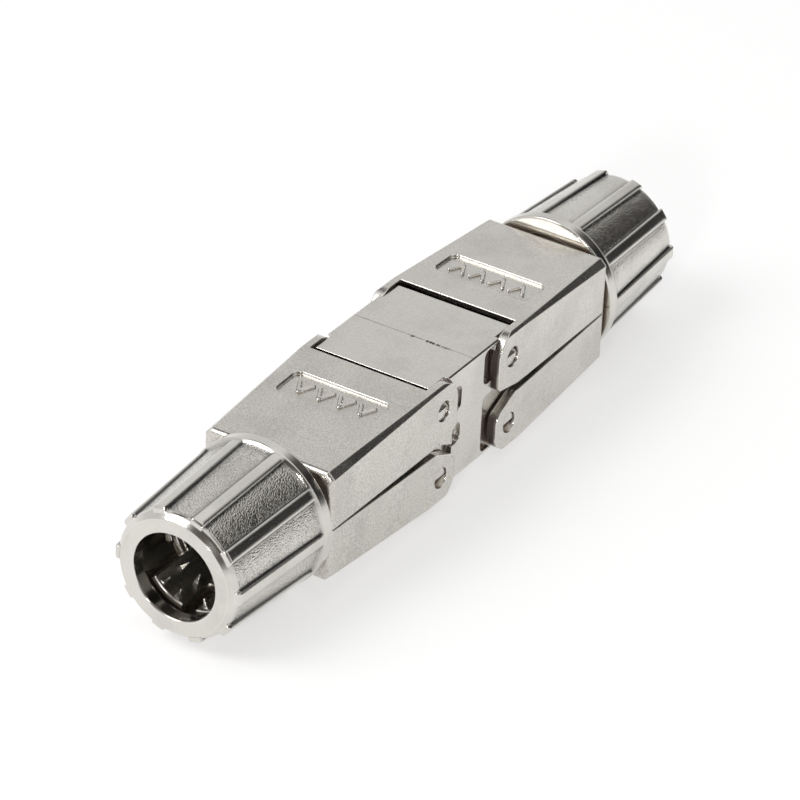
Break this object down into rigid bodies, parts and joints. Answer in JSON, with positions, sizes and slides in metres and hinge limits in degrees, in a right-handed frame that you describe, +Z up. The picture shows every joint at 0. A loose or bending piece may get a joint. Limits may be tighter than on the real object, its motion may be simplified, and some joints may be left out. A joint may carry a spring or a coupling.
{
  "type": "inline cable coupler",
  "caption": "Shielded metal inline coupler that joins two data cables: a core with hinged lids at each end, held shut by ribbed cap nuts over toothed clamp fingers.",
  "frame": {"origin": "centre of the coupler, on the common axis of the two cable bores", "axes": "+X along the cables, +Z up, square to the labelled face of the upper lids; -Y is the side with the hooked tab of the left upper lid"},
  "size_m": [0.0758, 0.0148, 0.0148],
  "materials": {
    "lid_metal": "satin nickel plate on a die casting, finely grained",
    "core_metal": "satin nickel plate on a die casting, smooth",
    "nut_metal": "satin nickel plate on a die casting, grained between the ribs",
    "board": "green solder mask on glass fibre board",
    "insulator": "moulded, off-white",
    "contact_metal": "tinned spring bronze"
  },
  "bodies": {
    "coupler_body": {"circuit_board": "board", "core_housing": "core_metal", "lower_contact_1_left": "contact_metal", "lower_contact_1_right": "contact_metal", "lower_contact_2_left": "contact_metal", "lower_contact_2_right": "contact_metal", "lower_contact_3_left": "contact_metal", "lower_contact_3_right": "contact_metal", "lower_contact_4_left": "contact_metal", "lower_contact_4_right": "contact_metal", "lower_lid_left": "lid_metal", "lower_lid_right": "lid_metal", "lower_terminal_block_left": "insulator", "lower_terminal_block_right": "insulator", "lower_wire_guide_left": "insulator", "lower_wire_guide_right": "insulator", "upper_contact_1_left": "contact_metal", "upper_contact_1_right": "contact_metal", "upper_contact_2_left": "contact_metal", "upper_contact_2_right": "contact_metal", "upper_contact_3_left": "contact_metal", "upper_contact_3_right": "contact_metal", "upper_contact_4_left": "contact_metal", "upper_contact_4_right": "contact_metal", "upper_lid_left": "lid_metal", "upper_lid_right": "lid_metal", "upper_terminal_block_left": "insulator", "upper_terminal_block_right": "insulator", "upper_wire_guide_left": "insulator", "upper_wire_guide_right": "insulator"},
    "left_nut": {"cap_nut_left": "nut_metal"},
    "right_nut": {"cap_nut_right": "nut_metal"}
  },
  "joints": [
    {"name": "left_nut_travel", "type": "slide", "parent": "coupler_body", "child": "left_nut", "axis": [-1, 0, 0], "range_m": [0, 0.012]},
    {"name": "right_nut_travel", "type": "slide", "parent": "coupler_body", "child": "right_nut", "axis": [1, 0, 0], "range_m": [0, 0.012]}
  ]
}
